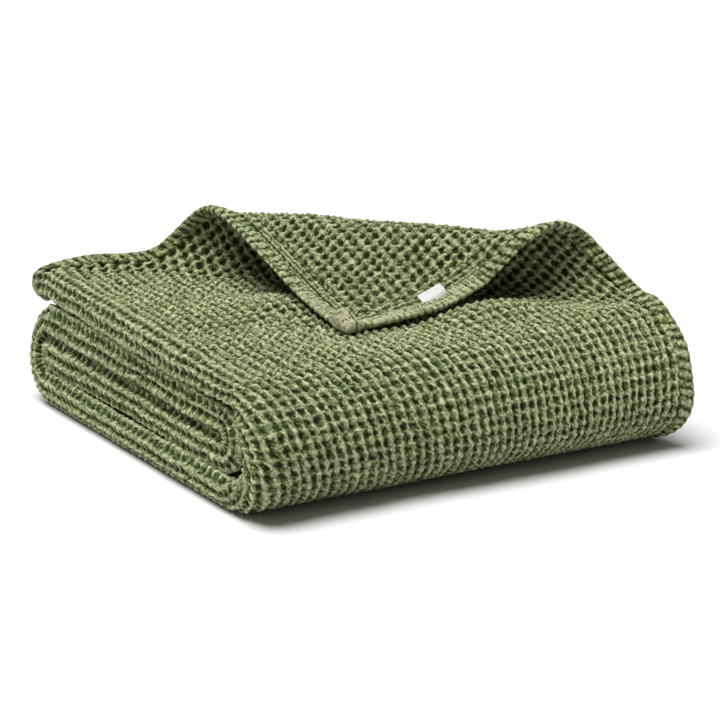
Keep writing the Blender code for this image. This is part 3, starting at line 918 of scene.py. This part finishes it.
# The hems' corner: the cloth folded over twice and sewn flat, smooth and bulky, with
# a fold line beside the side hem and a small slit
def makeTuck():
    across = np.sin(np.linspace(-math.pi / 2, math.pi / 2, tuckSizes["rings"]))
    (squareWide, squareLong), (roundWide, roundLong) = tuckSizes["square"], tuckSizes["round"]
    height = (1 - across ** squareWide) ** roundWide
    side = np.concatenate([across, across[-2:0:-1]])
    up = np.concatenate([-height, height[-2:0:-1]])
    run = across[:, None]
    end = np.clip(1 - np.abs(run) ** squareLong, 0, 1) ** roundLong
    end[[0, -1]] = tuckSizes["tip"]
    broad = 1 - tuckSizes["narrow"] * (1 - end)
    u = tuckSizes["middleAcross"] + run * tuckSizes["long"] / 2 + 0 * side
    v = tuckSizes["middleAlong"] + broad * side * tuckSizes["wide"] / 2
    overLong, overWide = tuckSizes["riseOver"]
    rise = tuckSizes["riseLong"] * smooth(shareOf(u, 0.0, overLong))
    rise = rise + tuckSizes["riseWide"] * smooth(shareOf(v, 0.0, overWide))
    lift = up * tuckSizes["thick"] / 2 - np.where(up < 0, rise, 0) * np.abs(up)
    line = side - tuckSizes["crease"] - tuckSizes["creaseSlant"] * run
    line = np.exp(-(line / tuckSizes["creaseWidth"]) ** 2)
    (slitRun, slitSide), (halfRun, halfSide) = tuckSizes["slit"], tuckSizes["slitSize"]
    slit = np.exp(-((run - slitRun) / halfRun) ** 2 - ((side - slitSide) / halfSide) ** 2)
    lower = smooth(shareOf(side, tuckSizes["crease"], tuckSizes["crease"] + tuckSizes["stepOver"]))
    dent = tuckSizes["creaseDepth"] * line + tuckSizes["slitDepth"] * slit + tuckSizes["step"] * lower
    points, _ = livingPoint(u, v, end * lift + dent * (up < 0) + hangLift(u, v))
    # painted shade in the small slit and along the fold line, over their dents
    shade = tuckSizes["relief"] - tuckSizes["slitShade"] * slit - tuckSizes["creaseShade"] * line
    cell = weaveSizes["cellAcross"]
    return finishHem("cornerTuck", points, u / cell, v / cell, shade, 1.0)


hems = [
    makeHem("sideHem", lambda reach, span: (reach, span), stripLength, hemSizes["sidePale"]),
    makeHem("farSideHem", lambda reach, span: (sectionLength - reach, span), stripLength, -1.0),
    makeHem("endHem", lambda reach, span: (span, reach), sectionLength, hemSizes["endPale"]),
    makeHem("innerEndHem", lambda reach, span: (span, stripLength - reach), sectionLength, -1.0,
            hemSizes["hiddenStep"]),
    makeTuck(),
]
print("hems made")

# The label, sewn in beside the side hem on the cloth's reverse
labelSizes = {
    "long": 0.0250, "wide": 0.0110, "thick": 0.0006, "fromEdge": 0.0100, "middle": 0.0728,
    "rows": 18, "columns": 9,
    "tucked": 0.0012, "tuckedShare": 0.35,      # it comes out from under the hem's cord
    "lift": 0.0036, "tilt": 0.0012, "curl": 0.0014, "curlMiddle": 0.4,
}


def makeLabel():
    s, t = np.meshgrid(np.linspace(0, 1, labelSizes["columns"]), np.linspace(-0.5, 0.5, labelSizes["rows"]))
    rear, front = clothSizes["rears"][0], clothSizes["fronts"][0]
    y = labelSizes["middle"] + t * labelSizes["long"]
    drawn = topReach(rear, clothSizes["drawnTo"], outerPly, True) - front
    u = labelSizes["fromEdge"] + s * labelSizes["wide"]
    v = topLength - (y - front) * topLength / drawn
    lift = labelSizes["lift"] - labelSizes["tilt"] * t * 2
    out = smooth(shareOf(s, 0, labelSizes["tuckedShare"]))
    off = labelSizes["tucked"] + (lift - labelSizes["tucked"]) * out
    curl = 1 - labelSizes["curlMiddle"] * (1 - np.cos(3 * t))
    off = -(off + labelSizes["curl"] * s ** 2 * curl)
    faces = [livingPoint(u, v, off + side * labelSizes["thick"] + hangLift(u, v))[0] for side in (0.5, -0.5)]
    mesh = gridMesh("sewnLabel", np.concatenate([faces[0], faces[1][:, ::-1]], 1), closedAcross=True)
    place = np.stack([s, t, 0 * s], -1)
    addAttribute(mesh, "cellPlace", np.concatenate([place, place[:, ::-1]], 1))
    mesh.materials.append(whiteTape)
    return addObject("sewnLabel", mesh)


label = makeLabel()
print("label made")

for piece in [cloth for cloth, flat in cloths] + hems:
    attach(piece, "root")
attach(label, "root")
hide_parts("label")
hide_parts("blanket")

# Floor, light and camera
stageLook = {
    "floorSize": 9.0, "floor": (0.82, 0.82, 0.82), "floorRoughness": 0.9,
    "daylight": 0.17, "backdrop": 1.0,
    "overhead": 3.95, "overheadAngle": 44.0, "overheadFrom": (-0.27, -0.05, 1.0),
    "lens": 90.0, "sensor": 36.0,
    "azimuth": -31.0, "elevation": 13.7, "distance": 1.62, "target": (0.0083, -0.0064, 0.057),
}
half = stageLook["floorSize"] / 2
corners = np.array([[(-half, -half, 0), (half, -half, 0)], [(-half, half, 0), (half, half, 0)]])
floor = addObject("floor", gridMesh("floor", corners))
floorMaterial, floorTree, floorShader = newMaterial("paleFloor", stageLook["floorRoughness"])
floorShader.inputs["Base Color"].default_value = (*stageLook["floor"], 1.0)
floor.data.materials.append(floorMaterial)

# white behind the bundle, and soft daylight all round it
world = bpy.data.worlds.new("softRoom")
bpy.context.scene.world = world
world.use_nodes = True
worldTree = world.node_tree
background = worldTree.nodes["Background"]
background.inputs["Color"].default_value = (1.0, 1.0, 1.0, 1.0)
seen = worldTree.nodes.new("ShaderNodeLightPath").outputs["Is Camera Ray"]
daylight, more = stageLook["daylight"], stageLook["backdrop"] - stageLook["daylight"]
worldTree.links.new(mathNode(worldTree, "MULTIPLY_ADD", seen, more, daylight), background.inputs["Strength"])

lampData = bpy.data.lights.new("overheadLamp", "SUN")
lampData.energy, lampData.angle = stageLook["overhead"], math.radians(stageLook["overheadAngle"])
lamp = addObject("overheadLamp", lampData)
lamp.rotation_mode = "QUATERNION"
lamp.rotation_quaternion = Vector(stageLook["overheadFrom"]).to_track_quat("Z", "Y")

cameraData = bpy.data.cameras.new("camera")
cameraData.lens, cameraData.sensor_width = stageLook["lens"], stageLook["sensor"]
camera = addObject("camera", cameraData)
azimuth, elevation = (math.radians(stageLook[key]) for key in ("azimuth", "elevation"))
back = Vector((math.sin(azimuth) * math.cos(elevation), -math.cos(azimuth) * math.cos(elevation),
                  math.sin(elevation)))
camera.location = Vector(stageLook["target"]) + back * stageLook["distance"]
camera.rotation_mode = "QUATERNION"
camera.rotation_quaternion = (-back).to_track_quat("-Z", "Y")
bpy.context.scene.camera = camera
bpy.context.scene.view_settings.view_transform = "Standard"
print("stage made")
